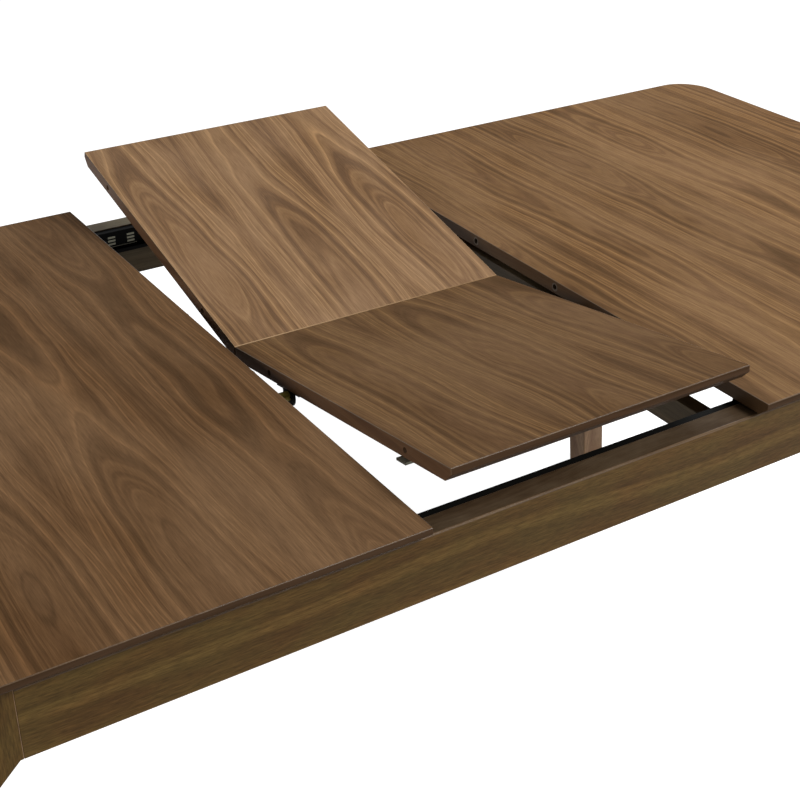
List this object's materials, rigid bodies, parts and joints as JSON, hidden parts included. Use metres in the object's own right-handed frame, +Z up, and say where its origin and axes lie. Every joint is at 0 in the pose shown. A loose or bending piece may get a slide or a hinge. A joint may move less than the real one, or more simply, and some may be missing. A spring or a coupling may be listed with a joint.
{
  "type": "extendable dining table",
  "caption": "Rectangular wooden dining table on splayed legs; the top halves slide apart on ball-bearing slides and a folding butterfly leaf swings up to fill the gap.",
  "frame": {"origin": "on the floor under the middle of the table", "axes": "+X along the length of the table, +Y across it, +Z up"},
  "size_m": [1.978, 0.965, 0.8527],
  "materials": {
    "walnut_veneer": "satin lacquered walnut veneer",
    "stained_wood": "stained solid wood, satin lacquer",
    "rail_wood": "stained, unpolished",
    "black_steel": "black electrophoretic coat",
    "zinc_steel": "zinc plated",
    "brass": "satin",
    "black_plastic": "moulded"
  },
  "bodies": {
    "frame": {"near_apron": "stained_wood", "near_fixed_rail": "black_steel", "far_apron": "stained_wood", "far_fixed_rail": "black_steel", "left_end_apron": "stained_wood", "left_cross_rail": "rail_wood", "left_pivot_support": "black_steel", "left_pivot_pin": "brass", "left_leaf_rest": "black_steel", "near_left_leg": "stained_wood", "near_left_corner_brace": "rail_wood", "near_left_glide": "black_plastic", "far_left_leg": "stained_wood", "far_left_corner_brace": "rail_wood", "far_left_glide": "black_plastic", "right_end_apron": "stained_wood", "right_cross_rail": "rail_wood", "right_pivot_support": "black_steel", "right_pivot_pin": "brass", "right_leaf_rest": "black_steel", "near_right_leg": "stained_wood", "near_right_corner_brace": "rail_wood", "near_right_glide": "black_plastic", "far_right_leg": "stained_wood", "far_right_corner_brace": "rail_wood", "far_right_glide": "black_plastic"},
    "left_half": {"left_top": "walnut_veneer", "left_batten": "rail_wood", "left_near_dowel": "brass", "left_near_slide_member": "black_steel", "left_near_slide_angle": "black_steel", "left_far_dowel": "brass", "left_far_slide_member": "black_steel", "left_far_slide_angle": "black_steel"},
    "right_half": {"right_top": "walnut_veneer", "right_batten": "rail_wood", "right_near_socket": "brass", "right_near_slide_member": "black_steel", "right_near_slide_angle": "black_steel", "right_far_socket": "brass", "right_far_slide_member": "black_steel", "right_far_slide_angle": "black_steel"},
    "left_cages": {"left_near_ball_cage": "black_steel", "left_far_ball_cage": "black_steel"},
    "right_cages": {"right_near_ball_cage": "black_steel", "right_far_ball_cage": "black_steel"},
    "leaf_near_half": {"near_leaf": "walnut_veneer", "near_left_hinge": "black_steel", "near_right_hinge": "black_steel", "near_leaf_dowel": "brass", "left_pivot_ear": "black_steel", "right_pivot_ear": "black_steel", "leaf_catch": "zinc_steel"},
    "leaf_far_half": {"far_leaf": "walnut_veneer", "far_left_hinge": "black_steel", "far_right_hinge": "black_steel", "far_leaf_dowel": "brass"}
  },
  "joints": [
    {"name": "left_top_slide", "type": "slide", "parent": "frame", "child": "left_half", "axis": [1, 0, 0], "range_m": [0, 0.02]},
    {"name": "right_top_slide", "type": "slide", "parent": "frame", "child": "right_half", "axis": [-1, 0, 0], "range_m": [0, 0.02]},
    {"name": "left_cage_travel", "type": "slide", "parent": "frame", "child": "left_cages", "axis": [1, 0, 0], "range_m": [0, 0.01]},
    {"name": "right_cage_travel", "type": "slide", "parent": "frame", "child": "right_cages", "axis": [-1, 0, 0], "range_m": [0, 0.01]},
    {"name": "leaf_near_pivot", "type": "hinge", "parent": "frame", "child": "leaf_near_half", "pos_m": [0, -0.134, 0.736], "axis": [-1, 0, 0], "range_deg": [-9, 63]},
    {"name": "leaf_far_fold", "type": "hinge", "parent": "leaf_near_half", "child": "leaf_far_half", "pos_m": [0, 0.0025, 0.74121], "axis": [1, 0, 0], "range_deg": [-22.5, 157.5]}
  ],
  "couplings": [
    {"joint": "left_cage_travel", "follows": "left_top_slide", "ratio": 0.5},
    {"joint": "right_cage_travel", "follows": "right_top_slide", "ratio": 0.5},
    {"joint": "leaf_far_fold", "follows": "leaf_near_pivot", "ratio": 2.5}
  ]
}
